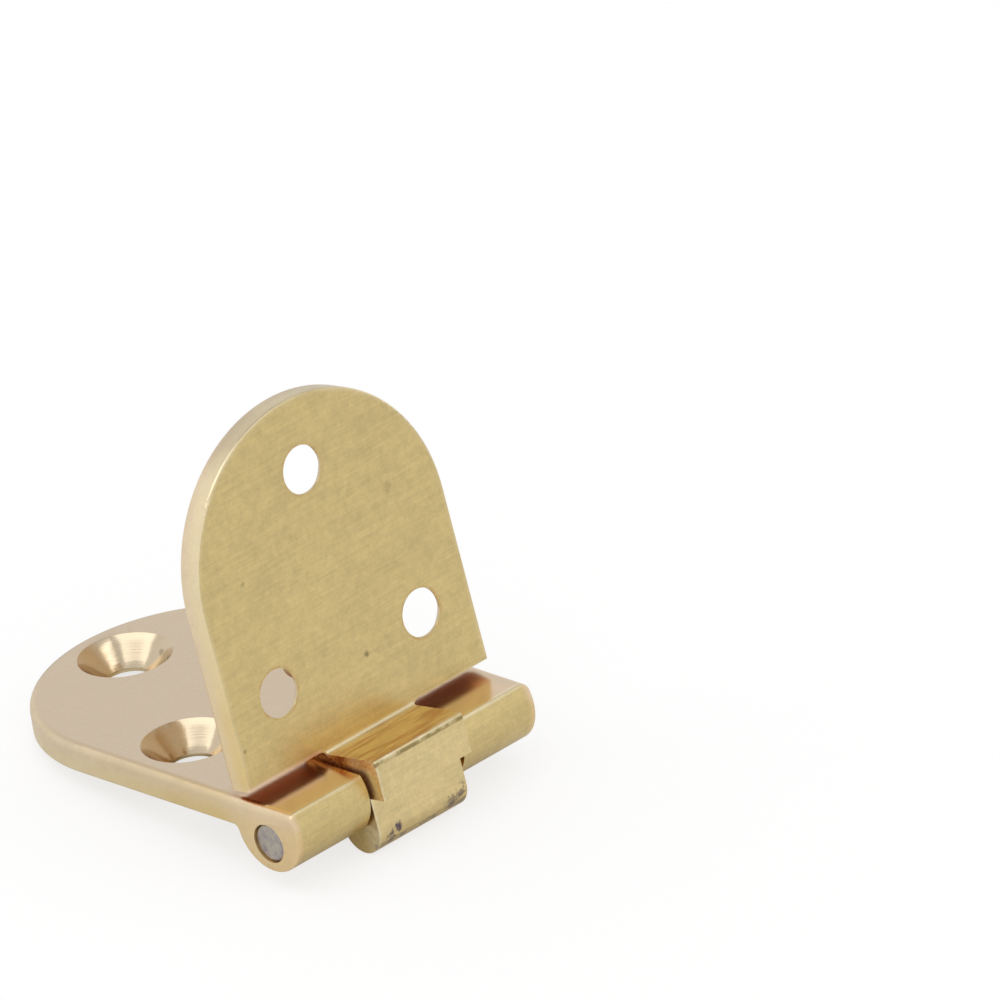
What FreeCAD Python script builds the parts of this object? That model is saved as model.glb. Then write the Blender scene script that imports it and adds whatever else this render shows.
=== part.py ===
"""Drop leaf table hinge: two brass leaves of unequal length that turn on one steel pin.

Frame: the origin is on the pin's axis, midway along it. +Y runs along the pin, +Z is the direction that the
fixed leaf's countersunk face looks in, and the fixed leaf's plate runs from the pin towards -X.
The flap leaf is drawn lying open and flat, its plate towards +X, and is then turned up about the pin.
"""
import FreeCAD, Part
import os

import Sketcher

doc = FreeCAD.newDocument("DropLeafHinge")

# Driving sizes in millimetres and degrees
SIZES = {
    "leaf_width": 30.0,
    "plate_thickness": 2.8,
    "face_height": 3.6,
    "fixed_length": 39.7,
    "flap_length": 36.8,
    "knuckle_radius": 4.0,
    "knuckle_rise": 1.2,
    "root_radius": 0.6,
    "edge_round": 0.25,
    "face_round": 0.8,
    "pin_diameter": 3.75,
    "pin_recess": 0.2,
    "pin_chamfer": 0.2,
    "running_clearance": 0.05,
    "block_width": 11.0,
    "side_clearance": 0.4,
    "fixed_slot": 9.0,
    "flap_notch": 4.9,
    "notch_radius": 0.7,
    "hole_diameter": 4.5,
    "sink_diameter": 8.8,
    "sink_angle": 82.0,
    "fixed_row": 16.0,
    "fixed_end_margin": 6.0,
    "flap_row": 12.05,
    "flap_end_margin": 6.75,
    "hole_pitch": 17.9,
    "shoulder_height": 4.5,
    "ridge_reach": 5.6,
    "ridge_round": 0.35,
    "crease_radius": 0.35,
    "lip_foot": 0.6,
    "lip_step": 1.9,
    "toe_depth": 2.6,
    "toe_radius": 2.4,
    "block_back": 3.7,
    "flap_angle": 97.75,
}

sheet = doc.addObject("Spreadsheet::Sheet", "Sizes")
for row, (name, value) in enumerate(SIZES.items(), start=1):
    sheet.set("A%d" % row, name)
    sheet.set("B%d" % row, str(value))
    sheet.setAlias("B%d" % row, name)
doc.recompute()


def size(name):
    """Returns one driving size as a number."""
    return float(sheet.get(name))


def plane_of(body, role):
    """Returns the origin plane or axis of a body with the given role."""
    for item in body.Origin.OriginFeatures:
        if item.Role == role:
            return item
    raise RuntimeError("no origin feature " + role)


def new_body(label):
    """Makes an empty body whose label names the piece."""
    body = doc.addObject("PartDesign::Body", label)
    body.Label = label
    return body


def new_sketch(body, name, role, lift=None):
    """Makes a sketch on one of the body's origin planes, lifted along the plane's normal by an expression."""
    sketch = body.newObject("Sketcher::SketchObject", name)
    sketch.AttachmentSupport = [(plane_of(body, role), "")]
    sketch.MapMode = "FlatFace"
    if lift:
        sketch.setExpression("AttachmentOffset.Base.z", lift)
    return sketch


def fix_along(sketch, kind, geo, pos, value, rule):
    """Ties one coordinate of a sketch point to a rule, which gives the coordinate's size without its sign."""
    if rule is None:
        axis = -2 if kind == "DistanceX" else -1
        sketch.addConstraint(Sketcher.Constraint("PointOnObject", geo, pos, axis))
        return
    if value > 0:
        number = sketch.addConstraint(Sketcher.Constraint(kind, -1, 1, geo, pos, value))
    else:
        number = sketch.addConstraint(Sketcher.Constraint(kind, geo, pos, -1, 1, -value))
    sketch.setExpression("Constraints[%d]" % number, rule)


def fix_point(sketch, geo, pos, point):
    """Ties a sketch point to the two rules of a corner (x, x rule, y, y rule)."""
    x, x_rule, y, y_rule = point
    fix_along(sketch, "DistanceX", geo, pos, x, x_rule)
    fix_along(sketch, "DistanceY", geo, pos, y, y_rule)


def draw_outline(sketch, corners, arcs):
    """Draws a closed outline through the corners.

    arcs maps the number of a corner to the arc that leaves it: (centre x, centre y, turns left, fixed axis,
    rule), where the rule ties the centre's coordinate on that axis.
    """
    count = len(corners)
    edges = []
    for i, corner in enumerate(corners):
        start = FreeCAD.Vector(corner[0], corner[2], 0)
        after = corners[(i + 1) % count]
        end = FreeCAD.Vector(after[0], after[2], 0)
        if i not in arcs:
            edges.append((sketch.addGeometry(Part.LineSegment(start, end), False), 1, 2))
            continue
        cx, cy, turns_left = arcs[i][:3]
        centre = FreeCAD.Vector(cx, cy, 0)
        circle = Part.Circle(centre, FreeCAD.Vector(0, 0, 1), (start - centre).Length)
        first = circle.parameter(start)
        last = circle.parameter(end)
        if turns_left:
            edges.append((sketch.addGeometry(Part.ArcOfCircle(circle, first, last), False), 1, 2))
        else:
            edges.append((sketch.addGeometry(Part.ArcOfCircle(circle, last, first), False), 2, 1))
    for i, (geo, _, end_pos) in enumerate(edges):
        next_geo, next_start, _ = edges[(i + 1) % count]
        sketch.addConstraint(Sketcher.Constraint("Coincident", geo, end_pos, next_geo, next_start))
    for i, (geo, start_pos, _) in enumerate(edges):
        fix_point(sketch, geo, start_pos, corners[i])
        if i in arcs:
            cx, cy, _, axis, rule = arcs[i]
            kind = "DistanceX" if axis == "x" else "DistanceY"
            fix_along(sketch, kind, geo, 3, cx if axis == "x" else cy, rule)


def draw_circle(sketch, x, x_rule, y, y_rule, radius, radius_rule):
    """Draws a circle whose centre and radius follow the given rules."""
    geo = sketch.addGeometry(Part.Circle(FreeCAD.Vector(x, y, 0), FreeCAD.Vector(0, 0, 1), radius), False)
    fix_point(sketch, geo, 3, (x, x_rule, y, y_rule))
    number = sketch.addConstraint(Sketcher.Constraint("Radius", geo, radius))
    sketch.setExpression("Constraints[%d]" % number, radius_rule)


def pad(body, sketch, name, length, both_ways):
    """Pads a sketch by a length rule, upwards from its plane or the same amount to both sides of it."""
    feature = body.newObject("PartDesign::Pad", name)
    feature.Profile = sketch
    feature.SideType = "Symmetric" if both_ways else "One side"
    feature.setExpression("Length", length)
    doc.recompute()
    return feature


def cut_through(body, sketch, name):
    """Cuts a sketch right through the body, to both sides of its plane."""
    before = body.Shape.Volume
    feature = body.newObject("PartDesign::Pocket", name)
    feature.Profile = sketch
    feature.SideType = "Symmetric"
    feature.Type = "ThroughAll"
    doc.recompute()
    if body.Shape.Volume > before - 1.0:
        raise RuntimeError(name + " cuts nothing")
    return feature


def ease_edges(body, name, wanted, rule):
    """Rounds the edges of a body that the wanted test picks out by the points along them."""
    base = body.Tip
    names = []
    for number, item in enumerate(base.Shape.Edges, start=1):
        points = item.discretize(Number=5)
        if wanted(points):
            names.append("Edge%d" % number)
    before = body.Shape.Volume
    feature = body.newObject("PartDesign::Fillet", name)
    feature.Base = (base, names)
    feature.setExpression("Radius", rule)
    doc.recompute()
    if not 0.0 < before - body.Shape.Volume < 0.1 * before:
        raise RuntimeError("the edges of %s are not eased" % body.Label)
    return feature


def screw_holes(body, side, row_name, length_name, margin_name):
    """Cuts the three countersunk screw holes: two in a row near the pin and one near the round end."""
    row = size(row_name)
    end = size(length_name) - size(margin_name)
    half = size("hole_pitch") / 2
    radius = size("hole_diameter") / 2
    radius_rule = "Sizes.hole_diameter / 2"
    sketch = new_sketch(body, "screw_places", "XY_Plane", "Sizes.face_height")
    row_rule = "Sizes." + row_name
    end_rule = "Sizes.%s - Sizes.%s" % (length_name, margin_name)
    for across in (half, -half):
        draw_circle(sketch, side * row, row_rule, across, "Sizes.hole_pitch / 2", radius, radius_rule)
    draw_circle(sketch, side * end, end_rule, 0, None, radius, radius_rule)
    doc.recompute()
    before = body.Shape.Volume
    hole = body.newObject("PartDesign::Hole", "screw_holes")
    hole.Profile = sketch
    doc.recompute()
    hole.ThreadType = "None"
    hole.DepthType = "ThroughAll"
    hole.HoleCutType = "Countersink"
    hole.HoleCutCustomValues = True
    hole.setExpression("Diameter", "Sizes.hole_diameter")
    hole.setExpression("HoleCutDiameter", "Sizes.sink_diameter")
    hole.setExpression("HoleCutCountersinkAngle", "Sizes.sink_angle")
    doc.recompute()
    if body.Shape.Volume > before - 100.0:
        raise RuntimeError("the screw holes of %s cut too little" % body.Label)
    return hole


W = size("leaf_width")
T = size("plate_thickness")
D = size("face_height")
KR = size("knuckle_radius")
UNDER = D - T
UNDER_RULE = "Sizes.face_height - Sizes.plate_thickness"
HALF_RULE = "Sizes.leaf_width / 2"

# Fixed leaf: the plate, round at its far end
fixed_leaf = new_body("fixed_leaf")
LA = size("fixed_length")
straight = LA - W / 2
straight_rule = "Sizes.fixed_length - Sizes.leaf_width / 2"
plate = new_sketch(fixed_leaf, "fixed_plate_outline", "XY_Plane", UNDER_RULE)
draw_outline(plate, [
    (0, None, -W / 2, HALF_RULE),
    (0, None, W / 2, HALF_RULE),
    (-straight, straight_rule, W / 2, HALF_RULE),
    (-straight, straight_rule, -W / 2, HALF_RULE),
], {2: (-straight, 0, True, "x", straight_rule)})
pad(fixed_leaf, plate, "fixed_plate", "Sizes.plate_thickness", False)

# Fixed leaf: the knuckle bar, a round bar cut flat in line with the face, with a hollow root behind
rise = size("knuckle_rise")
root = size("root_radius")
drop = rise - UNDER + root
span = ((KR + root) ** 2 - drop ** 2) ** 0.5
share = KR / (KR + root)
corner = (KR ** 2 - (D - rise) ** 2) ** 0.5
drop_rule = "(Sizes.knuckle_rise - (%s) + Sizes.root_radius)" % UNDER_RULE
span_rule = "sqrt((Sizes.knuckle_radius + Sizes.root_radius)^2 - %s^2)" % drop_rule
share_rule = "Sizes.knuckle_radius / (Sizes.knuckle_radius + Sizes.root_radius)"
corner_rule = "sqrt(Sizes.knuckle_radius^2 - (Sizes.face_height - Sizes.knuckle_rise)^2)"
bar = new_sketch(fixed_leaf, "knuckle_section", "XZ_Plane")
draw_outline(bar, [
    (-span, span_rule, D, "Sizes.face_height"),
    (-span, span_rule, UNDER, UNDER_RULE),
    (-share * span, share_rule + " * " + span_rule, rise - share * drop,
     "abs(Sizes.knuckle_rise - %s * %s)" % (share_rule, drop_rule)),
    (corner, corner_rule, D, "Sizes.face_height"),
], {
    1: (-span, UNDER - root, False, "x", span_rule),
    2: (0, rise, True, "x", None),
})
pad(fixed_leaf, bar, "knuckle_bar", "Sizes.leaf_width", True)


def rim_edge(points, middle):
    """Tells the level edges round a leaf's sides and round end, given the middle of the round end."""
    level = max(abs(p.z - points[0].z) for p in points) < 1e-6
    on_side = all(abs(abs(p.y) - W / 2) < 1e-6 for p in points)
    on_end = all(abs((p.x - middle) ** 2 + p.y ** 2 - W ** 2 / 4) < 1e-6 for p in points)
    return level and (on_side or on_end)


def fixed_face_rim(points):
    """Tells the edges round the fixed leaf's countersunk face."""
    return rim_edge(points, W / 2 - LA) and abs(points[0].z - D) < 1e-6


def fixed_plain_rim(points):
    """Tells the edges round the fixed leaf's plain face."""
    return rim_edge(points, W / 2 - LA) and abs(points[0].z - UNDER) < 1e-6


ease_edges(fixed_leaf, "fixed_face_round", fixed_face_rim, "Sizes.face_round")
ease_edges(fixed_leaf, "fixed_plain_round", fixed_plain_rim, "Sizes.edge_round")

# Fixed leaf: the slot between its two knuckles that the flap leaf's block turns in
slot = new_sketch(fixed_leaf, "block_slot_outline", "XY_Plane")
gap = size("block_width") / 2 + size("side_clearance")
gap_rule = "Sizes.block_width / 2 + Sizes.side_clearance"
reach_rule = "Sizes.knuckle_radius + 5"
draw_outline(slot, [
    (-size("fixed_slot"), "Sizes.fixed_slot", -gap, gap_rule),
    (KR + 5, reach_rule, -gap, gap_rule),
    (KR + 5, reach_rule, gap, gap_rule),
    (-size("fixed_slot"), "Sizes.fixed_slot", gap, gap_rule),
], {})
cut_through(fixed_leaf, slot, "block_slot")

# Fixed leaf: the tight pin bore and the screw holes
bore = new_sketch(fixed_leaf, "fixed_bore_circle", "XZ_Plane")
draw_circle(bore, 0, None, 0, None, size("pin_diameter") / 2, "Sizes.pin_diameter / 2")
cut_through(fixed_leaf, bore, "fixed_bore")
screw_holes(fixed_leaf, -1, "fixed_row", "fixed_length", "fixed_end_margin")

# Flap leaf: the plate, round at its far end, narrowed to the block's width beside the fixed leaf's knuckles
flap_leaf = new_body("flap_leaf")
LB = size("flap_length")
N = size("flap_notch")
BW = size("block_width")
nr = size("notch_radius")
straight = LB - W / 2
straight_rule = "Sizes.flap_length - Sizes.leaf_width / 2"
block_rule = "Sizes.block_width / 2"
flap_plate = new_sketch(flap_leaf, "flap_plate_outline", "XY_Plane", UNDER_RULE)
draw_outline(flap_plate, [
    (0, None, -BW / 2, block_rule),
    (N - nr, "Sizes.flap_notch - Sizes.notch_radius", -BW / 2, block_rule),
    (N, "Sizes.flap_notch", -BW / 2 - nr, block_rule + " + Sizes.notch_radius"),
    (N, "Sizes.flap_notch", -W / 2, HALF_RULE),
    (straight, straight_rule, -W / 2, HALF_RULE),
    (straight, straight_rule, W / 2, HALF_RULE),
    (N, "Sizes.flap_notch", W / 2, HALF_RULE),
    (N, "Sizes.flap_notch", BW / 2 + nr, block_rule + " + Sizes.notch_radius"),
    (N - nr, "Sizes.flap_notch - Sizes.notch_radius", BW / 2, block_rule),
    (0, None, BW / 2, block_rule),
], {
    1: (N - nr, -BW / 2 - nr, False, "x", "Sizes.flap_notch - Sizes.notch_radius"),
    4: (straight, 0, True, "x", straight_rule),
    7: (N - nr, BW / 2 + nr, False, "x", "Sizes.flap_notch - Sizes.notch_radius"),
})
pad(flap_leaf, flap_plate, "flap_plate", "Sizes.plate_thickness", False)

# Flap leaf: the block, with a square ridge, a step under the ridge, a round toe and a flat back
SH = size("shoulder_height")
RR = size("ridge_reach")
rr = size("ridge_round")
cr = size("crease_radius")
LF = size("lip_foot")
LOWER = RR - size("lip_step")
TD = size("toe_depth")
TR = size("toe_radius")
TO = LOWER - TR
BB = size("block_back")
lower_rule = "Sizes.ridge_reach - Sizes.lip_step"
back_rise = (TR ** 2 - (BB - TD) ** 2) ** 0.5
back_rule = "abs(sqrt(Sizes.toe_radius^2 - (Sizes.block_back - Sizes.toe_depth)^2) - (%s - Sizes.toe_radius))"
section = new_sketch(flap_leaf, "block_section", "XZ_Plane")
draw_outline(section, [
    (SH + cr, "Sizes.shoulder_height + Sizes.crease_radius", D, "Sizes.face_height"),
    (-BB, "Sizes.block_back", D, "Sizes.face_height"),
    (-BB, "Sizes.block_back", back_rise - TO, back_rule % lower_rule),
    (-TD, "Sizes.toe_depth", -LOWER, lower_rule),
    (LF, "Sizes.lip_foot", -LOWER, lower_rule),
    (LF, "Sizes.lip_foot", -RR, "Sizes.ridge_reach"),
    (SH - rr, "Sizes.shoulder_height - Sizes.ridge_round", -RR, "Sizes.ridge_reach"),
    (SH, "Sizes.shoulder_height", -RR + rr, "Sizes.ridge_reach - Sizes.ridge_round"),
    (SH, "Sizes.shoulder_height", UNDER - cr, "abs(%s - Sizes.crease_radius)" % UNDER_RULE),
    (SH + cr, "Sizes.shoulder_height + Sizes.crease_radius", UNDER, UNDER_RULE),
], {
    2: (-TD, -TO, True, "x", "Sizes.toe_depth"),
    6: (SH - rr, -RR + rr, True, "x", "Sizes.shoulder_height - Sizes.ridge_round"),
    8: (SH + cr, UNDER - cr, False, "x", "Sizes.shoulder_height + Sizes.crease_radius"),
})
pad(flap_leaf, section, "block", "Sizes.block_width", True)


def flap_face_rim(points):
    """Tells the edges round the flap leaf's countersunk face."""
    return rim_edge(points, LB - W / 2) and abs(points[0].z - D) < 1e-6


def flap_plain_rim(points):
    """Tells the edges round the flap leaf's plain face."""
    return rim_edge(points, LB - W / 2) and abs(points[0].z - UNDER) < 1e-6


ease_edges(flap_leaf, "flap_face_round", flap_face_rim, "Sizes.face_round")
ease_edges(flap_leaf, "flap_plain_round", flap_plain_rim, "Sizes.edge_round")

# Flap leaf: the running pin bore and the screw holes, then the turn up about the pin
bore = new_sketch(flap_leaf, "flap_bore_circle", "XZ_Plane")
draw_circle(bore, 0, None, 0, None, size("pin_diameter") / 2 + size("running_clearance"),
            "Sizes.pin_diameter / 2 + Sizes.running_clearance")
cut_through(flap_leaf, bore, "flap_bore")
screw_holes(flap_leaf, 1, "flap_row", "flap_length", "flap_end_margin")
flap_leaf.Placement = FreeCAD.Placement(FreeCAD.Vector(0, 0, 0),
                                        FreeCAD.Rotation(FreeCAD.Vector(0, -1, 0), size("flap_angle")))
flap_leaf.setExpression("Placement.Rotation.Angle", "Sizes.flap_angle")

# Pin: a plain rod with small chamfers, a little shorter than the leaves are wide
hinge_pin = new_body("hinge_pin")
half = W / 2 - size("pin_recess")
half_rule = "Sizes.leaf_width / 2 - Sizes.pin_recess"
radius = size("pin_diameter") / 2
c = size("pin_chamfer")
profile = new_sketch(hinge_pin, "pin_profile", "XY_Plane")
draw_outline(profile, [
    (0, None, -half, half_rule),
    (radius - c, "Sizes.pin_diameter / 2 - Sizes.pin_chamfer", -half, half_rule),
    (radius, "Sizes.pin_diameter / 2", -half + c, half_rule + " - Sizes.pin_chamfer"),
    (radius, "Sizes.pin_diameter / 2", half - c, half_rule + " - Sizes.pin_chamfer"),
    (radius - c, "Sizes.pin_diameter / 2 - Sizes.pin_chamfer", half, half_rule),
    (0, None, half, half_rule),
], {})
turned = hinge_pin.newObject("PartDesign::Revolution", "turned_pin")
turned.Profile = profile
turned.ReferenceAxis = (profile, ["V_Axis"])
turned.Angle = 360.0
doc.recompute()

# Checks before anything is written
for item in doc.Objects:
    if "Invalid" in item.State or "Error" in item.State:
        raise RuntimeError("failed: " + item.Label)
os.makedirs("parts", exist_ok=True)
for body in (fixed_leaf, flap_leaf, hinge_pin):
    shape = body.Shape
    if shape.isNull() or not shape.isValid() or len(shape.Solids) != 1:
        raise RuntimeError("bad shape: " + body.Label)
    box = shape.BoundBox
    print("%s: volume %.1f, x %.2f to %.2f, y %.2f to %.2f, z %.2f to %.2f" % (
        body.Label, shape.Volume, box.XMin, box.XMax, box.YMin, box.YMax, box.ZMin, box.ZMax))
    shape.exportStep("parts/%s.step" % body.Label)
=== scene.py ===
"""Dresses the drop leaf table hinge, two brass leaves on a steel pin, with floor, soft light and camera."""

import math
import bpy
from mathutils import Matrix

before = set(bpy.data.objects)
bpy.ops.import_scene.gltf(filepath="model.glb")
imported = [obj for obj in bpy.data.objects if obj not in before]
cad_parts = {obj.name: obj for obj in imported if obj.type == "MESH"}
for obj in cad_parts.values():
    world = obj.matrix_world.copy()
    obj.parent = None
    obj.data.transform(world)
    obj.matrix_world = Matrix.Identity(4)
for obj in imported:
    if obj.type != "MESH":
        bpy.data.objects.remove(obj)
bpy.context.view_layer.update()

from types import SimpleNamespace

import bpy
from mathutils import Matrix, Vector


def linear(red, green, blue):
    """A colour written as it looks on screen, 0 to 255, as the linear colour that a shader takes."""
    parts = []
    for part in (red, green, blue):
        part = part / 255.0
        parts.append(part / 12.92 if part <= 0.04045 else ((part + 0.055) / 1.055) ** 2.4)
    return (*parts, 1.0)


# Sizes of the part that the materials follow, in millimetres
MM_PER_METRE = 1000.0
HALF_WIDTH = 15.0
FACE_HEIGHT = 3.6
PLAIN_HEIGHT = 0.8
SINK_RADIUS = 4.4
HOLE_RADIUS = 2.25
PIN_RADIUS = 1.875
SHOULDER = 4.5
BLOCK_HALF = 5.5
FLAP_ANGLE = math.radians(97.75)

# Edges in a leaf's section that get a mark: (along the leaf, lift, half width of the mark). The crease and
# brow lines get painted highlights, the ridge a painted highlight over wear, the line under the ridge
# painted shade, and the toe a stain
CREASE_LINE = (4.62, 0.66, 0.5)
RIDGE_LINE = (4.42, -5.52, 0.42)
RIDGE_SHADE_LINE = (4.06, -5.60, 0.28)
TOE_LINE = (-4.30, -3.00, 0.6)
BROW_LINE = (-3.12, 3.55, 0.45)
HEM_LINE = (4.9, 0.8, 0.42)
LINE_CORE = 0.4

# How much of a normal points a way: where a mask starts and where it is full
LOOKS_UP = (0.78, 0.97)
LOOKS_DOWN = (-0.78, -0.97)
LOOKS_CONE = (-0.4, 0.2)
LOOKS_ASIDE = (0.7, 0.95)
LOOKS_OUT = (0.7, 0.95)
LOOKS_TO_PIN = (-0.6, -0.9)

# Where each mask fades in, in millimetres: from none to full
FACE_FADE = (FACE_HEIGHT - 0.3, FACE_HEIGHT - 0.1)
PLAIN_FADE = (PLAIN_HEIGHT + 0.5, PLAIN_HEIGHT + 0.2)
CONE_FADE = (SINK_RADIUS + 0.1, SINK_RADIUS)
RIM_FADE = (0.95, 0.3)
RIM_WEAR_AND_HIGHLIGHT_FADE = (0.6, 0.1)
HOLE_RING_FADE = (HOLE_RADIUS + 0.35, HOLE_RADIUS + 0.1)
KNUCKLE_FADE = (4.6, 3.4)
FRONT_FADE = (-1.0, -3.0)
SHOULDER_TOP_FADE = (SHOULDER + 0.6, SHOULDER + 0.3)
SHOULDER_FOOT_FADE = (SHOULDER - 0.6, SHOULDER - 0.3)
LOWER_EDGE_FADE = (7.0, 6.0)
BESIDE_BLOCK_FADE = (BLOCK_HALF, BLOCK_HALF + 0.5)
HEM_FADE = (-BLOCK_HALF, -BLOCK_HALF - 1.0)
BLOCK_CORNER_FADE = (0.35 - BLOCK_HALF, 0.05 - BLOCK_HALF)
WALL_FADE = (5.0, 8.0)
WALL_OFF_HOLE_FADE = (SINK_RADIUS, SINK_RADIUS + 0.5)
BLOCK_WALL_FADE = (0.3, 0.7)
ORANGE_END_FADE = (14.6, 12.6)
UNDER_FLAP_SHADE_FRONT_FADE = (1.2, 3.2)
UNDER_FLAP_SHADE_BACK_FADE = (6.4, 3.6)
UNDER_FLAP_SHADE_END_FADE = (14.7, 12.0)

# Where one colour gives way to another, in millimetres; the rim's end is counted back from the leaf's tip.
# The rim's darker tip and the fixed leaf's darker rim are painted shade, and so are the browns of the flap's
# lower edges
RIM_NEAR_TO_FAR = (4.0, 27.0)
RIM_PINK_LIFT = (1.4, 2.8, 0.0, 0.6)
RIM_PINK_ROOT = (6.5, 3.5, 0.0, 0.45)
RIM_PAINTED_SHADE_FADE = (1.0, 9.0)
RIM_END_FADE = (4.0, 0.5)
RIM_END_PAINTED_SHADE = 0.70
LOWER_EDGE_SIDES = (-1.0, 1.0)
LOWER_EDGE_DEPTH = (0.9, 2.4)

# A countersink gets painted shade on the side where this mix of its normal's parts is large
CONE_SHADE_ACROSS = 0.71
CONE_SHADE_OUT = -0.69
CONE_SHADE_FADE = (0.32, 0.62)

# Noises: scale along, across and up, each per millimetre, then detail, roughness and distortion
STREAK_NOISE = ((2.6, 0.10, 2.6), 4.0, 0.6, 0.0)
HAIR_NOISE = ((9.0, 0.3, 9.0), 3.0, 0.6, 0.0)
CLOUD_NOISE = ((0.16, 0.16, 0.16), 4.0, 0.6, 0.4)
MOTTLE_NOISE = ((0.9, 0.9, 0.9), 4.0, 0.65, 0.3)
GRIT_NOISE = ((3.2, 3.2, 3.2), 3.0, 0.6, 0.0)
RING_NOISE = ((7.0, 0.0, 0.0), 3.0, 0.6, 0.0)
BREAK_NOISE = ((0.6, 0.5, 0.6), 4.0, 0.65, 0.0)
SHOULDER_REFLECTION_NOISE = ((1.0, 0.15, 1.3), 4.0, 0.6, 0.0)
PIN_PATCH_NOISE = ((0.9, 0.9, 0.9), 4.0, 0.6, 0.5)
PIN_GRIT_NOISE = ((4.0, 4.0, 4.0), 4.0, 0.65, 0.0)

# How a noise is cut into patches: start, end and, where given, the least and the most that it leaves
RIM_EDGE_CLOUD = (0.35, 0.6, 0.4, 1.0)
BROW_CLOUD = (0.35, 0.6, 0.5, 1.0)
UNDER_FLAP_SHADE_MOTTLE = (0.30, 0.70, 0.12, 0.42)
WALL_GRIT = (0.40, 0.60)
FIXED_WALL_MOTTLE = (0.35, 0.65, 0.4, 0.95)
BLOCK_WALL_MOTTLE = (0.35, 0.65, 0.8, 0.95)
HOLE_RING_MOTTLE = (0.40, 0.65, 0.0, 0.45)
CORNER_MOTTLE = (0.3, 0.6, 0.3, 0.8)
TOE_MOTTLE = (0.40, 0.60)
RIDGE_BREAKS = (0.40, 0.58)
SHOULDER_REFLECTION_PATCHES = (0.42, 0.62)
PIN_PATCHES = (0.38, 0.62)

# How strongly each feature is painted, 0 to 1
BLOCK_FRONT_LIGHT_AMOUNT = 0.8
SHOULDER_HIGHLIGHT_AMOUNT = 0.5
LOWER_EDGE_AMOUNT = 0.95
ORANGE_AMOUNT = 0.5
BROW_AMOUNT = 0.7
RIM_WEAR_AND_HIGHLIGHT_AMOUNT = 0.35
CREASE_AMOUNT = 0.6
RIDGE_AMOUNT = 0.8
RIDGE_BREAK_AMOUNT = 0.7
RIDGE_SHADE_AMOUNT = 0.8
RIDGE_SHADE_LEAST = 0.25
TOE_AMOUNT = 0.6
SHOULDER_REFLECTION_AMOUNT = 0.75
HEM_AMOUNT = 0.85

# How much of the brushed grain each surface loses, and how much of the grain's relief the face loses besides
FACE_GRAIN_LOSS = 0.80
CONE_GRAIN_LOSS = 0.75
RIM_GRAIN_LOSS = 0.50
FACE_RELIEF_LOSS = 0.65

# How much each noise changes the brass's tone
STREAK_TONE = 0.26
HAIR_TONE = 0.22
CLOUD_TONE = 0.20
MOTTLE_TONE = 0.36
GRIT_TONE = 0.24

# How rough the brass is, and what each surface and each noise adds to it
BRASS_ROUGHNESS = 0.31
PLAIN_ROUGHNESS = 0.03
FACE_ROUGHNESS = -0.03
CONE_ROUGHNESS = -0.13
KNUCKLE_ROUGHNESS = -0.09
WALL_ROUGHNESS = 0.10
STREAK_ROUGHNESS = 0.12
CLOUD_ROUGHNESS = 0.10
MOTTLE_ROUGHNESS = 0.08

# Heights of the bumps, in millimetres
STREAK_HEIGHT = 0.006
HAIR_SHARE = 0.4
GRIT_HEIGHT = 0.003
RING_HEIGHT = 0.006
WALL_DENT = 0.08
RIDGE_DENT = 0.06

# A mark's ragged edge, in radii, how much less ragged a speck is than a stain, and its full middle
MOTTLE_RAG = 3.0
GRIT_RAG = 2.0
SPECK_RAG = 0.3
MARK_CORE = 0.2

# Colours of the brass
PLAIN_COLOUR = linear(224, 201, 142)
FACE_COLOUR = linear(225, 205, 179)
RIM_NEAR_COLOUR = linear(238, 204, 122)
RIM_FAR_COLOUR = linear(252, 232, 190)
RIM_PINK_COLOUR = linear(240, 214, 186)
# Countersinks: the lit side, and the painted shade on the other side
CONE_LIT_COLOUR = linear(222, 204, 175)
CONE_SHADED_COLOUR = linear(194, 160, 114)
# Bright edges and lines: partly wear, partly painted highlights
WEAR_AND_HIGHLIGHT_COLOUR = linear(246, 232, 196)
# Knuckles' flats: partly their own tone, partly a painted reflection of the flap's face
ORANGE_COLOUR = linear(246, 214, 176)
# Painted shade under the flap's lower edges
UNDER_FLAP_SHADE_COLOUR = linear(158, 98, 60)
# The flap's lower edges: painted shade, mirrored in the knuckles' flats
LOWER_EDGE_FRONT_SHADE_COLOUR = linear(234, 176, 118)
LOWER_EDGE_LEFT_SHADE_COLOUR = linear(180, 100, 42)
LOWER_EDGE_RIGHT_SHADE_COLOUR = linear(134, 60, 20)
BRONZE_COLOUR = linear(196, 138, 74)
# Walls of the gaps: painted bounce light, with red patches of painted shade
GAP_BOUNCE_COLOUR = linear(250, 190, 106)
GAP_SHADE_RED_COLOUR = linear(196, 104, 48)
# The block's shoulder and front: painted light
SHOULDER_HIGHLIGHT_COLOUR = linear(244, 214, 152)
BLOCK_FRONT_LIGHT_COLOUR = linear(236, 214, 160)
# Painted shade under the ridge
OLIVE_COLOUR = linear(142, 122, 74)
SPECK_COLOUR = linear(118, 106, 70)
STAIN_COLOUR = linear(104, 88, 104)
HEM_COLOUR = linear(250, 226, 204)

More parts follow.
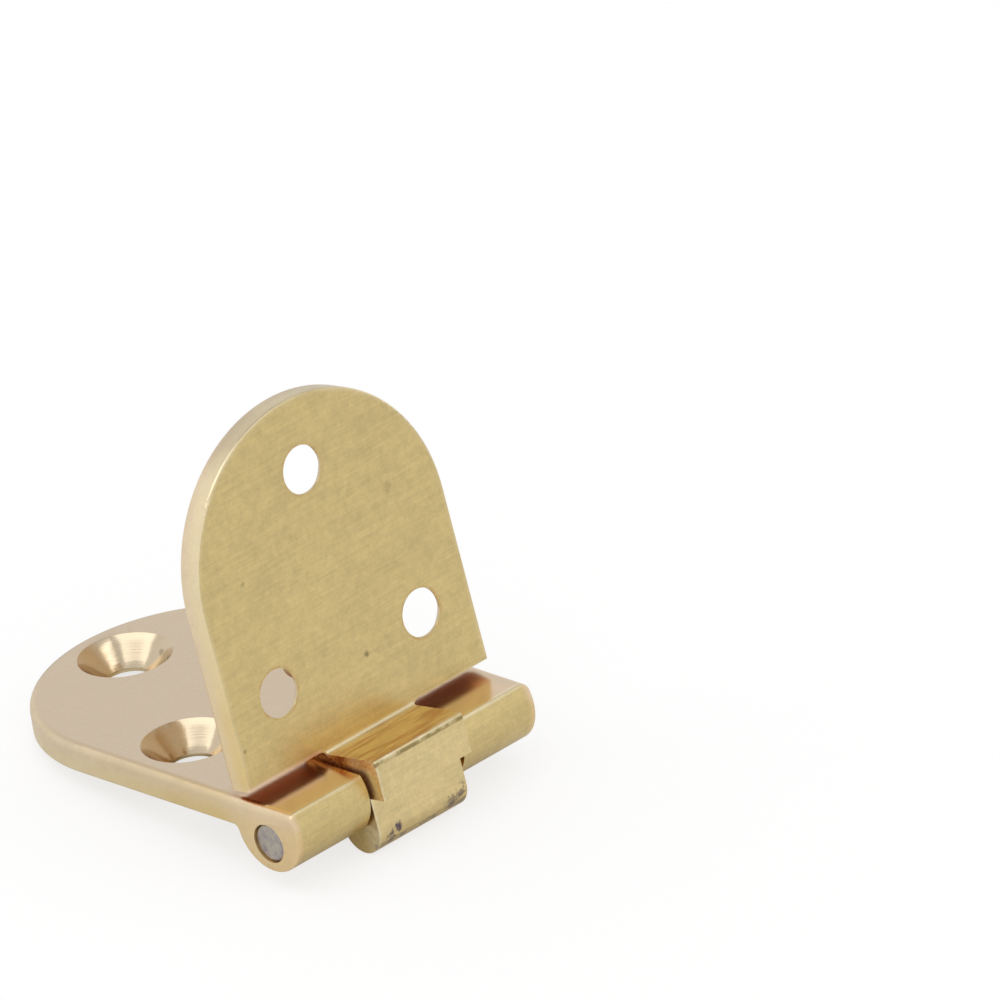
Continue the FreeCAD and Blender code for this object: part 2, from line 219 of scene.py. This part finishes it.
# The leaves: outward is along the leaf away from the pin, upward is from the plain to the countersunk face,
# holes are (along, across), and marks are (along, across, lift), radius, strength and colour
FIXED_LEAF = SimpleNamespace(
    length=39.7,
    outward=(-1.0, 0.0, 0.0),
    upward=(0.0, 0.0, 1.0),
    holes=[(16.0, 8.95), (16.0, -8.95), (33.7, 0.0)],
    rim_painted_shade=0.86,
    has_block=False,
    marks=[
        ((32.69, 3.43, 2.6), 0.45, 0.45, SPECK_COLOUR),
        ((6.5, 11.2, 0.8), 0.55, 0.60, STAIN_COLOUR),
        ((24.0, -7.5, 0.8), 0.45, 0.60, SPECK_COLOUR),
    ],
)
FLAP_LEAF = SimpleNamespace(
    length=36.8,
    outward=(math.cos(FLAP_ANGLE), 0.0, math.sin(FLAP_ANGLE)),
    upward=(-math.sin(FLAP_ANGLE), 0.0, math.cos(FLAP_ANGLE)),
    holes=[(12.05, 8.95), (12.05, -8.95), (30.05, 0.0)],
    rim_painted_shade=1.0,
    has_block=True,
    marks=[
        ((11.13, 1.80, 0.8), 0.42, 0.75, SPECK_COLOUR),
        ((8.66, -14.34, 0.8), 0.32, 0.55, SPECK_COLOUR),
        ((24.30, 8.74, 0.8), 0.80, 0.22, SPECK_COLOUR),
        ((23.03, -9.76, 0.8), 0.40, 0.35, SPECK_COLOUR),
        ((-3.13, -3.10, -3.65), 0.60, 0.95, STAIN_COLOUR),
        ((-3.85, -3.95, -3.30), 0.75, 0.90, STAIN_COLOUR),
        ((-3.75, 3.60, -3.40), 0.85, 0.70, STAIN_COLOUR),
        ((-3.20, 4.75, -3.60), 0.75, 0.75, STAIN_COLOUR),
    ],
)


class Graph:
    """The nodes of a material or a world, with short calls that each add a node and give its output."""

    def __init__(self, owner):
        self.owner = owner
        owner.use_nodes = True
        self.tree = owner.node_tree
        self.tree.nodes.clear()

    def node(self, kind):
        return self.tree.nodes.new(kind)

    def put(self, socket, value):
        """Links an output to a socket, or sets the socket to a constant."""
        if isinstance(value, bpy.types.NodeSocket):
            self.tree.links.new(value, socket)
        else:
            socket.default_value = value

    def math(self, operation, a, b=0.0):
        made = self.node("ShaderNodeMath")
        made.operation = operation
        self.put(made.inputs[0], a)
        self.put(made.inputs[1], b)
        return made.outputs[0]

    def add(self, a, b):
        return self.math("ADD", a, b)

    def less(self, a, b):
        return self.math("SUBTRACT", a, b)

    def times(self, first, *others):
        """All the values multiplied."""
        for other in others:
            first = self.math("MULTIPLY", first, other)
        return first

    def vector(self, operation, a, b=(0.0, 0.0, 0.0)):
        made = self.node("ShaderNodeVectorMath")
        made.operation = operation
        self.put(made.inputs[0], a)
        self.put(made.inputs[1], b)
        if operation in ("DOT_PRODUCT", "LENGTH", "DISTANCE"):
            return made.outputs["Value"]
        return made.outputs[0]

    def join(self, x, y, z):
        made = self.node("ShaderNodeCombineXYZ")
        for socket, value in zip(made.inputs, (x, y, z)):
            self.put(socket, value)
        return made.outputs[0]

    def split(self, vector):
        made = self.node("ShaderNodeSeparateXYZ")
        self.put(made.inputs[0], vector)
        return made.outputs

    def ease(self, value, start, end, low=0.0, high=1.0):
        """Goes smoothly from low, where the value is start, to high, where it is end."""
        made = self.node("ShaderNodeMapRange")
        made.interpolation_type = "SMOOTHSTEP"
        self.put(made.inputs["Value"], value)
        if start < end:
            ends = (start, end, low, high)
        else:
            ends = (end, start, high, low)
        for name, number in zip(("From Min", "From Max", "To Min", "To Max"), ends):
            self.put(made.inputs[name], number)
        return made.outputs[0]

    def noise(self, vector, scale, detail, roughness, distortion):
        made = self.node("ShaderNodeTexNoise")
        self.put(made.inputs["Vector"], self.vector("MULTIPLY", vector, scale))
        self.put(made.inputs["Scale"], 1.0)
        self.put(made.inputs["Detail"], detail)
        self.put(made.inputs["Roughness"], roughness)
        self.put(made.inputs["Distortion"], distortion)
        return made.outputs[0]

    def mix(self, amount, a, b, blend="MIX"):
        made = self.node("ShaderNodeMix")
        made.data_type = "RGBA"
        made.blend_type = blend
        self.put(made.inputs[0], amount)
        self.put(made.inputs[6], a)
        self.put(made.inputs[7], b)
        return made.outputs[2]

    def shade(self, colour, amount):
        """Makes a colour lighter or darker by a factor."""
        return self.mix(1.0, colour, self.join(amount, amount, amount), "MULTIPLY")

    def vary(self, value, noise, amount):
        """Adds a noise, centred on nothing, times an amount."""
        return self.add(value, self.times(self.less(noise, 0.5), amount))

    def bump(self, height):
        """A bump from a height in millimetres."""
        made = self.node("ShaderNodeBump")
        self.put(made.inputs["Strength"], 1.0)
        self.put(made.inputs["Distance"], 1.0 / MM_PER_METRE)
        self.put(made.inputs["Height"], height)
        return made.outputs[0]

    def millimetres(self, place):
        """The place on the object, in millimetres, from a texture coordinate node."""
        return self.vector("MULTIPLY", place.outputs["Object"], (MM_PER_METRE, MM_PER_METRE, MM_PER_METRE))

    def finish_metal(self, colour, roughness, height):
        """Ends a material as a metal, and gives the material."""
        shader = self.node("ShaderNodeBsdfPrincipled")
        shader.inputs["Metallic"].default_value = 1.0
        self.put(shader.inputs["Base Color"], colour)
        self.put(shader.inputs["Roughness"], roughness)
        self.put(shader.inputs["Normal"], self.bump(height))
        output = self.node("ShaderNodeOutputMaterial")
        self.put(output.inputs["Surface"], shader.outputs[0])
        return self.owner


class Brass(Graph):
    """Brass of one leaf: brushed plain face, paler countersunk face, turned countersinks, edges that are
    worn and carry painted highlights, and painted shade and reflections in places.
    """

    def __init__(self, name, leaf):
        super().__init__(bpy.data.materials.new(name))
        self.leaf = leaf
        self.find_place()
        self.find_surfaces()
        self.make_grain()

    def make(self):
        """Paints the leaf from its plain tones up to its marks, and gives the material."""
        self.lay_tones()
        self.dents = self.times(self.wall, self.times(self.mottle, WALL_DENT))
        if self.leaf.has_block:
            self.shade_lower_edges()
        else:
            self.tint_and_shade_flats()
        self.highlight_brow()
        self.paint_gap_light()
        self.wear_and_highlight_edges()
        if self.leaf.has_block:
            self.work_block()
        self.add_marks()
        return self.finish_metal(self.colour, self.roughness(), self.height())

    def find_place(self):
        """Where a point is on the leaf, in millimetres, and which way its surface looks there."""
        place = self.node("ShaderNodeTexCoord")
        point = self.millimetres(place)
        normal = place.outputs["Normal"]
        self.along = self.vector("DOT_PRODUCT", point, self.leaf.outward)
        self.across = self.split(point)[1]
        self.lift = self.vector("DOT_PRODUCT", point, self.leaf.upward)
        self.spot = self.join(self.along, self.across, self.lift)
        self.looks_out = self.vector("DOT_PRODUCT", normal, self.leaf.outward)
        self.looks_across = self.split(normal)[1]
        self.looks_up = self.vector("DOT_PRODUCT", normal, self.leaf.upward)
        self.from_hole = self.hole_distance()
        self.from_rim = self.rim_distance()

    def hole_distance(self):
        """How far a point is from the axis of the nearest screw hole."""
        flat = self.join(self.along, self.across, 0.0)
        nearest = None
        for along, across in self.leaf.holes:
            distance = self.vector("DISTANCE", flat, (along, across, 0.0))
            nearest = distance if nearest is None else self.math("MINIMUM", nearest, distance)
        return nearest

    def rim_distance(self):
        """How far a point is inside the leaf's outline, which has two straight sides and a round end."""
        past = self.math("MAXIMUM", self.less(self.along, self.leaf.length - HALF_WIDTH), 0.0)
        return self.less(HALF_WIDTH, self.vector("LENGTH", self.join(past, self.across, 0.0)))

    def find_surfaces(self):
        """Masks of the leaf's surfaces."""
        self.face = self.times(self.ease(self.looks_up, *LOOKS_UP), self.ease(self.lift, *FACE_FADE))
        self.plain = self.times(self.ease(self.looks_up, *LOOKS_DOWN), self.ease(self.lift, *PLAIN_FADE))
        cone = self.times(self.ease(self.from_hole, *CONE_FADE), self.ease(self.looks_up, *LOOKS_CONE))
        self.cone = self.times(cone, self.less(1.0, self.face))
        self.rim = self.times(self.ease(self.from_rim, *RIM_FADE), self.less(1.0, self.plain))
        self.knuckle = self.times(self.face, self.ease(self.along, *KNUCKLE_FADE))
        self.wall = self.times(
            self.ease(self.math("ABSOLUTE", self.looks_across), *LOOKS_ASIDE),
            self.ease(self.from_rim, *WALL_FADE),
            self.ease(self.from_hole, *WALL_OFF_HOLE_FADE),
        )
        if self.leaf.has_block:
            self.wall = self.times(self.wall, self.ease(self.along, *BLOCK_WALL_FADE))
            self.front = self.ease(self.lift, *FRONT_FADE)
            self.shoulder = self.times(
                self.ease(self.looks_out, *LOOKS_OUT),
                self.ease(self.along, *SHOULDER_TOP_FADE),
                self.ease(self.along, *SHOULDER_FOOT_FADE),
            )

    def make_grain(self):
        """Brushed streaks along the pin, clouds, fine grit and turned rings, and where the grain shows."""
        self.streak = self.noise(self.spot, *STREAK_NOISE)
        self.hair = self.noise(self.spot, *HAIR_NOISE)
        self.cloud = self.noise(self.spot, *CLOUD_NOISE)
        self.mottle = self.noise(self.spot, *MOTTLE_NOISE)
        self.grit = self.noise(self.spot, *GRIT_NOISE)
        self.rings = self.noise(self.join(self.from_hole, 0.0, 0.0), *RING_NOISE)
        grain = self.less(1.0, self.times(self.face, FACE_GRAIN_LOSS))
        grain = self.less(grain, self.times(self.cone, CONE_GRAIN_LOSS))
        self.grain = self.less(grain, self.times(self.rim, RIM_GRAIN_LOSS))

    def paint(self, tint, *masks):
        """Lays a tint over the colour where all the masks meet."""
        self.colour = self.mix(self.times(*masks), self.colour, tint)

    def near_line(self, line):
        """A mask that is full along a line that runs across the leaf."""
        along, lift, half_width = line
        distance = self.vector("DISTANCE", self.join(self.along, 0.0, self.lift), (along, 0.0, lift))
        return self.ease(distance, half_width, half_width * LINE_CORE)

    def rim_colour(self):
        """The rim's colour: yellower near the pin, pinker by the countersunk face, with painted shade at the
        end and, on the fixed leaf, along most of the rim.
        """
        length = self.leaf.length
        colour = self.mix(self.ease(self.along, *RIM_NEAR_TO_FAR), RIM_NEAR_COLOUR, RIM_FAR_COLOUR)
        colour = self.mix(self.ease(self.lift, *RIM_PINK_LIFT), colour, RIM_PINK_COLOUR)
        colour = self.mix(self.ease(self.along, *RIM_PINK_ROOT), colour, RIM_PINK_COLOUR)
        # Painted shade: the fixed leaf's rim darkens away from the pin, and every rim darkens at its tip
        colour = self.shade(colour, self.ease(self.along, *RIM_PAINTED_SHADE_FADE, 1.0, self.leaf.rim_painted_shade))
        start, end = (length - inset for inset in RIM_END_FADE)
        return self.shade(colour, self.ease(self.along, start, end, 1.0, RIM_END_PAINTED_SHADE))

    def cone_colour(self):
        """The countersinks' colour, with painted shade on one side."""
        # Painted shade: each countersink is darker and browner on the side that its normal turns to
        lean = self.add(self.times(self.looks_across, CONE_SHADE_ACROSS), self.times(self.looks_out, CONE_SHADE_OUT))
        return self.mix(self.ease(lean, *CONE_SHADE_FADE), CONE_LIT_COLOUR, CONE_SHADED_COLOUR)

    def lay_tones(self):
        """One tone for each surface, with painted light on the block's front and shoulder, then the grain.
        """
        self.colour = self.mix(self.face, PLAIN_COLOUR, FACE_COLOUR)
        self.paint(self.rim_colour(), self.rim)
        self.paint(self.cone_colour(), self.cone)
        if self.leaf.has_block:
            # Painted light: the block's front is lighter, against the shaded floor it mirrors
            self.paint(BLOCK_FRONT_LIGHT_COLOUR, self.front, self.plain, BLOCK_FRONT_LIGHT_AMOUNT)
            # Painted highlight: the block's shoulder is brighter
            self.paint(SHOULDER_HIGHLIGHT_COLOUR, self.shoulder, SHOULDER_HIGHLIGHT_AMOUNT)
        tone = self.vary(1.0, self.streak, STREAK_TONE)
        tone = self.vary(tone, self.hair, HAIR_TONE)
        tone = self.vary(tone, self.cloud, CLOUD_TONE)
        tone = self.vary(tone, self.mottle, MOTTLE_TONE)
        tone = self.vary(tone, self.grit, GRIT_TONE)
        tone = self.add(1.0, self.times(self.less(tone, 1.0), self.grain))
        self.colour = self.shade(self.colour, tone)

    def shade_lower_edges(self):
        """The flap's lower edges are painted brown, darkest on the right and lighter orange by the plain
        face: painted shade that shows mirrored in the knuckles' flats.
        """
        edges = self.times(self.ease(self.looks_out, *LOOKS_TO_PIN), self.ease(self.along, *LOWER_EDGE_FADE))
        beside = self.ease(self.math("ABSOLUTE", self.across), *BESIDE_BLOCK_FADE)
        brown = self.mix(self.ease(self.across, *LOWER_EDGE_SIDES), LOWER_EDGE_LEFT_SHADE_COLOUR, LOWER_EDGE_RIGHT_SHADE_COLOUR)
        brown = self.mix(self.ease(self.lift, *LOWER_EDGE_DEPTH), LOWER_EDGE_FRONT_SHADE_COLOUR, brown)
        self.paint(brown, edges, beside, LOWER_EDGE_AMOUNT)

    def tint_and_shade_flats(self):
        """The knuckles' flats are a little orange, partly their own tone and partly a painted reflection of
        the flap's face, with mottled painted shade under the flap's lower edges.
        """
        # Partly painted reflection: the flats are tinted orange, fading out at one end of the pin
        self.paint(ORANGE_COLOUR, self.knuckle, self.ease(self.across, *ORANGE_END_FADE), ORANGE_AMOUNT)
        # Painted shade: a mottled dark band on the flats under the flap's lower edges
        under_flap_shade = self.times(self.ease(self.along, *UNDER_FLAP_SHADE_FRONT_FADE), self.ease(self.along, *UNDER_FLAP_SHADE_BACK_FADE))
        patches = self.times(self.ease(self.across, *UNDER_FLAP_SHADE_END_FADE), self.ease(self.mottle, *UNDER_FLAP_SHADE_MOTTLE))
        self.paint(UNDER_FLAP_SHADE_COLOUR, self.face, under_flap_shade, patches)

    def highlight_brow(self):
        """The edge beyond the pin, where the countersunk face ends, carries a painted highlight in patches.
        """
        brow = self.near_line(BROW_LINE)
        self.paint(WEAR_AND_HIGHLIGHT_COLOUR, brow, self.ease(self.cloud, *BROW_CLOUD), BROW_AMOUNT)

    def paint_gap_light(self):
        """The walls of the gap beside the block, and of the fixed leaf's slot, are painted orange, the
        block's with red patches: painted bounce light between the brass walls, and painted shade in the gap.
        """
        if self.leaf.has_block:
            red = self.mix(self.ease(self.grit, *WALL_GRIT), GAP_BOUNCE_COLOUR, GAP_SHADE_RED_COLOUR)
            self.paint(red, self.wall, self.ease(self.mottle, *BLOCK_WALL_MOTTLE))
        else:
            self.paint(GAP_BOUNCE_COLOUR, self.wall, self.ease(self.mottle, *FIXED_WALL_MOTTLE))

    def wear_and_highlight_edges(self):
        """The rim's edges are brightened, partly wear and partly a painted highlight, and each hole has a
        darker bronze ring in patches on the plain face.
        """
        edge = self.ease(self.from_rim, *RIM_WEAR_AND_HIGHLIGHT_FADE)
        self.paint(WEAR_AND_HIGHLIGHT_COLOUR, edge, self.ease(self.cloud, *RIM_EDGE_CLOUD), RIM_WEAR_AND_HIGHLIGHT_AMOUNT)
        ring = self.times(self.ease(self.from_hole, *HOLE_RING_FADE), self.plain)
        self.paint(BRONZE_COLOUR, ring, self.ease(self.mottle, *HOLE_RING_MOTTLE))

    def work_block(self):
        """The block: painted highlights on its front corner, crease and dented ridge, the corner and ridge
        partly wear, painted shade in the dark line under the ridge, a stained toe, and painted reflection
        streaks on the shoulder.
        """
        # Painted highlight, partly wear, on the block's front corner
        corner = self.times(self.ease(self.across, *BLOCK_CORNER_FADE), self.front)
        self.paint(WEAR_AND_HIGHLIGHT_COLOUR, corner, self.ease(self.mottle, *CORNER_MOTTLE))
        # Painted highlight along the crease
        self.paint(WEAR_AND_HIGHLIGHT_COLOUR, self.near_line(CREASE_LINE), CREASE_AMOUNT)
        # Painted highlight along the ridge, over wear, broken into patches
        broken = self.ease(self.noise(self.spot, *BREAK_NOISE), *RIDGE_BREAKS)
        whole = self.less(1.0, self.times(broken, RIDGE_BREAK_AMOUNT))
        ridge = self.times(self.near_line(RIDGE_LINE), whole)
        self.paint(WEAR_AND_HIGHLIGHT_COLOUR, ridge, RIDGE_AMOUNT)
        # Painted shade: a broken dark olive line under the ridge
        shaded = self.add(RIDGE_SHADE_LEAST, self.times(broken, 1.0 - RIDGE_SHADE_LEAST))
        under = self.times(self.near_line(RIDGE_SHADE_LINE), shaded)
        self.paint(OLIVE_COLOUR, under, RIDGE_SHADE_AMOUNT)
        self.paint(STAIN_COLOUR, self.near_line(TOE_LINE), self.ease(self.mottle, *TOE_MOTTLE), TOE_AMOUNT)
        # Painted reflection: bronze streaks on the shoulder
        reflected_streaks = self.ease(self.noise(self.spot, *SHOULDER_REFLECTION_NOISE), *SHOULDER_REFLECTION_PATCHES)
        self.paint(BRONZE_COLOUR, self.shoulder, reflected_streaks, SHOULDER_REFLECTION_AMOUNT)
        self.paint(HEM_COLOUR, self.near_line(HEM_LINE), self.ease(self.across, *HEM_FADE), HEM_AMOUNT)
        ridge_dents = self.times(self.add(ridge, under), self.times(self.mottle, RIDGE_DENT))
        self.dents = self.add(self.dents, ridge_dents)

    def add_marks(self):
        """Round specks and ragged stains."""
        for centre, radius, strength, tint in self.leaf.marks:
            torn = radius if tint == STAIN_COLOUR else radius * SPECK_RAG
            ragged = self.vary(self.vector("DISTANCE", self.spot, centre), self.mottle, MOTTLE_RAG * torn)
            ragged = self.vary(ragged, self.grit, GRIT_RAG * torn)
            self.paint(tint, self.ease(ragged, radius, radius * MARK_CORE), strength)

    def roughness(self):
        """Smooth countersinks and knuckles' flats, rough walls, and the grain's unevenness."""
        rough = BRASS_ROUGHNESS
        for mask, change in (
            (self.plain, PLAIN_ROUGHNESS),
            (self.face, FACE_ROUGHNESS),
            (self.cone, CONE_ROUGHNESS),
            (self.knuckle, KNUCKLE_ROUGHNESS),
            (self.wall, WALL_ROUGHNESS),
        ):
            rough = self.add(rough, self.times(mask, change))
        rough = self.vary(rough, self.streak, STREAK_ROUGHNESS)
        rough = self.vary(rough, self.cloud, CLOUD_ROUGHNESS)
        return self.vary(rough, self.mottle, MOTTLE_ROUGHNESS)

    def height(self):
        """Brushed streaks, grit, turned rings and dents."""
        relief = self.times(self.grain, self.less(1.0, self.times(self.face, FACE_RELIEF_LOSS)))
        brushed = self.add(self.streak, self.times(self.hair, HAIR_SHARE))
        height = self.times(brushed, relief, STREAK_HEIGHT)
        height = self.add(height, self.times(self.grit, relief, GRIT_HEIGHT))
        height = self.add(height, self.times(self.rings, self.cone, RING_HEIGHT))
        return self.less(height, self.dents)


# Steel of the pin: two greys in patches, with painted shade round the rim where it meets its bore, and bumps
# in millimetres
STEEL_COLD_COLOUR = linear(168, 158, 164)
STEEL_WARM_COLOUR = linear(190, 184, 172)
STEEL_ROUGHNESS = 0.38
PIN_PATCH_TONE = 0.30
PIN_GRIT_TONE = 0.40
PIN_PATCH_ROUGHNESS = 0.25
PIN_RIM_SHADE_FADE = (PIN_RADIUS - 0.05, PIN_RADIUS - 0.5, 0.85, 1.0)
PIN_PATCH_HEIGHT = 0.05
PIN_GRIT_HEIGHT = 0.02


def steel(name):
    """Steel of the pin: grey, cropped and peened at its ends."""
    g = Graph(bpy.data.materials.new(name))
    point = g.millimetres(g.node("ShaderNodeTexCoord"))
    x, y, z = g.split(point)
    radius = g.vector("LENGTH", g.join(x, 0.0, z))
    patch = g.noise(point, *PIN_PATCH_NOISE)
    grit = g.noise(point, *PIN_GRIT_NOISE)
    colour = g.mix(g.ease(patch, *PIN_PATCHES), STEEL_COLD_COLOUR, STEEL_WARM_COLOUR)
    tone = g.vary(1.0, patch, PIN_PATCH_TONE)
    tone = g.vary(tone, grit, PIN_GRIT_TONE)
    # Painted shade: darker round the pin's rim
    tone = g.times(tone, g.ease(radius, *PIN_RIM_SHADE_FADE))
    roughness = g.vary(STEEL_ROUGHNESS, patch, PIN_PATCH_ROUGHNESS)
    height = g.add(g.times(patch, PIN_PATCH_HEIGHT), g.times(grit, PIN_GRIT_HEIGHT))
    return g.finish_metal(g.shade(colour, tone), roughness, height)


# The sharp edges that the CAD solids keep are softened a little, in metres
EDGE_SOFTENING = 0.00012
EDGE_ANGLE = math.radians(34.0)
EDGE_SEGMENTS = 2
SEAM_WIDTH = 0.000002


def dress(node, material):
    """Gives one CAD node its material and softens its sharp edges."""
    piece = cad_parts[node]
    piece.data.materials.clear()
    piece.data.materials.append(material)
    seams = piece.modifiers.new("join_seams", "WELD")
    seams.merge_threshold = SEAM_WIDTH
    soft = piece.modifiers.new("soft_edges", "BEVEL")
    soft.width = EDGE_SOFTENING
    soft.segments = EDGE_SEGMENTS
    soft.limit_method = "ANGLE"
    soft.angle_limit = EDGE_ANGLE
    piece.modifiers.new("even_normals", "WEIGHTED_NORMAL")


dress("fixed_leaf", Brass("brass_fixed_leaf", FIXED_LEAF).make())
dress("flap_leaf", Brass("brass_flap_leaf", FLAP_LEAF).make())
dress("hinge_pin", steel("steel_pin"))

WHITE = (1.0, 1.0, 1.0, 1.0)

# Floor: the hinge lies on the block's toe and the fixed leaf's round end, so it is tilted to touch both.
# Its greys are what the room's light meets and what the camera sees under the glow that whitens it.
FLOOR_TILT = math.radians(7.784)
FLOOR_DROP = 0.004552
FLOOR_GAP = 0.00002
FLOOR_HALF = 3.0
FLOOR_GREY = (0.76, 0.76, 0.76, 1.0)
FLOOR_SEEN_GREY = (0.30, 0.30, 0.30, 1.0)
FLOOR_SEEN_GLOW = 0.74
FLOOR_MIRRORED_GLOW = 0.10


def floor_material():
    """White to the camera, and darker where the hinge shades it."""
    g = Graph(bpy.data.materials.new("pale_floor"))
    path = g.node("ShaderNodeLightPath")
    seen = g.math("MAXIMUM", path.outputs["Is Camera Ray"], path.outputs["Is Transmission Ray"])
    matt = g.node("ShaderNodeBsdfDiffuse")
    g.put(matt.inputs["Color"], g.mix(seen, FLOOR_GREY, FLOOR_SEEN_GREY))
    glow = g.node("ShaderNodeEmission")
    g.put(glow.inputs["Color"], WHITE)
    mirrored = g.times(path.outputs["Is Glossy Ray"], FLOOR_MIRRORED_GLOW)
    g.put(glow.inputs["Strength"], g.add(g.times(seen, FLOOR_SEEN_GLOW), mirrored))
    both = g.node("ShaderNodeAddShader")
    g.put(both.inputs[0], matt.outputs[0])
    g.put(both.inputs[1], glow.outputs[0])
    output = g.node("ShaderNodeOutputMaterial")
    g.put(output.inputs["Surface"], both.outputs[0])
    return g.owner


def make_floor():
    """A wide pale sheet under the hinge."""
    up = Vector((math.sin(FLOOR_TILT), 0.0, math.cos(FLOOR_TILT)))
    side = Vector((math.cos(FLOOR_TILT), 0.0, -math.sin(FLOOR_TILT)))
    depth = Vector((0.0, 1.0, 0.0))
    middle = up * -(FLOOR_DROP + FLOOR_GAP)
    corners = []
    for a, b in ((-1, -1), (1, -1), (1, 1), (-1, 1)):
        corners.append(middle + (side * a + depth * b) * FLOOR_HALF)
    mesh = bpy.data.meshes.new("floor")
    mesh.from_pydata(corners, [], [(0, 1, 2, 3)])
    mesh.materials.append(floor_material())
    floor = bpy.data.objects.new("floor", mesh)
    bpy.context.scene.collection.objects.link(floor)


make_floor()

# Room: the heights between which it dims, and its strength below and above them
ROOM_STRENGTH = (0.35, 0.95, 0.82, 0.62)


def make_world():
    """White where it is seen directly, and to the metal a white room that is a little dimmer overhead."""
    world = bpy.data.worlds.new("studio")
    bpy.context.scene.world = world
    g = Graph(world)
    place = g.node("ShaderNodeTexCoord")
    path = g.node("ShaderNodeLightPath")
    room = g.ease(g.split(place.outputs["Generated"])[2], *ROOM_STRENGTH)
    background = g.node("ShaderNodeBackground")
    g.put(background.inputs["Color"], WHITE)
    g.put(background.inputs["Strength"], g.math("MAXIMUM", room, path.outputs["Is Camera Ray"]))
    output = g.node("ShaderNodeOutputWorld")
    g.put(output.inputs["Surface"], background.outputs[0])


make_world()

# Lamps: name, bearing from the hinge, direction of the long side, length, width and power
HINGE_MIDDLE = Vector((-0.015, 0.0, 0.012))
LAMP_DISTANCE = 0.8
LAMPS = [
    ("key_lamp", (-0.08, -0.40, 0.86), (0.95, 0.31, 0.23), 1.03, 0.45, 1.35),
    ("strip_lamp", (0.60, 0.26, 0.745), (0.04, 0.26, -0.19), 0.45, 0.12, 0.23),
]


def make_lamp(name, bearing, long_way, length, width, power):
    """A soft lamp in the bearing seen from the hinge, facing it, with its long side turned the long way."""
    data = bpy.data.lights.new(name, "AREA")
    data.shape = "RECTANGLE"
    data.size = length
    data.size_y = width
    data.energy = power
    back = Vector(bearing).normalized()
    side = Vector(long_way)
    side = (side - back * side.dot(back)).normalized()
    turn = Matrix((side, back.cross(side), back)).transposed().to_4x4()
    made = bpy.data.objects.new(name, data)
    made.matrix_world = Matrix.Translation(HINGE_MIDDLE + back * LAMP_DISTANCE) @ turn
    bpy.context.scene.collection.objects.link(made)


for lamp in LAMPS:
    make_lamp(*lamp)

# Camera: a long lens from the photograph's viewing angle
CAMERA_PLACE = (2.75768, -2.29869, 1.76407)
CAMERA_RIGHT = (0.688923, 0.709946, -0.146157)
CAMERA_UP = (-0.224857, 0.401020, 0.888044)
CAMERA_BACK = (0.689075, -0.578930, 0.435908)
CAMERA_LENS = 1606.55
CAMERA_SENSOR = 36.0
CAMERA_NEAR = 0.05
CAMERA_FAR = 50.0


def make_camera():
    """The camera that the picture is taken with."""
    data = bpy.data.cameras.new("camera")
    data.sensor_fit = "HORIZONTAL"
    data.sensor_width = CAMERA_SENSOR
    data.lens = CAMERA_LENS
    data.clip_start = CAMERA_NEAR
    data.clip_end = CAMERA_FAR
    camera = bpy.data.objects.new("camera", data)
    bpy.context.scene.collection.objects.link(camera)
    turn = Matrix((CAMERA_RIGHT, CAMERA_UP, CAMERA_BACK)).transposed().to_4x4()
    camera.matrix_world = Matrix.Translation(CAMERA_PLACE) @ turn
    bpy.context.scene.camera = camera


make_camera()

bpy.context.scene.view_settings.view_transform = "Standard"
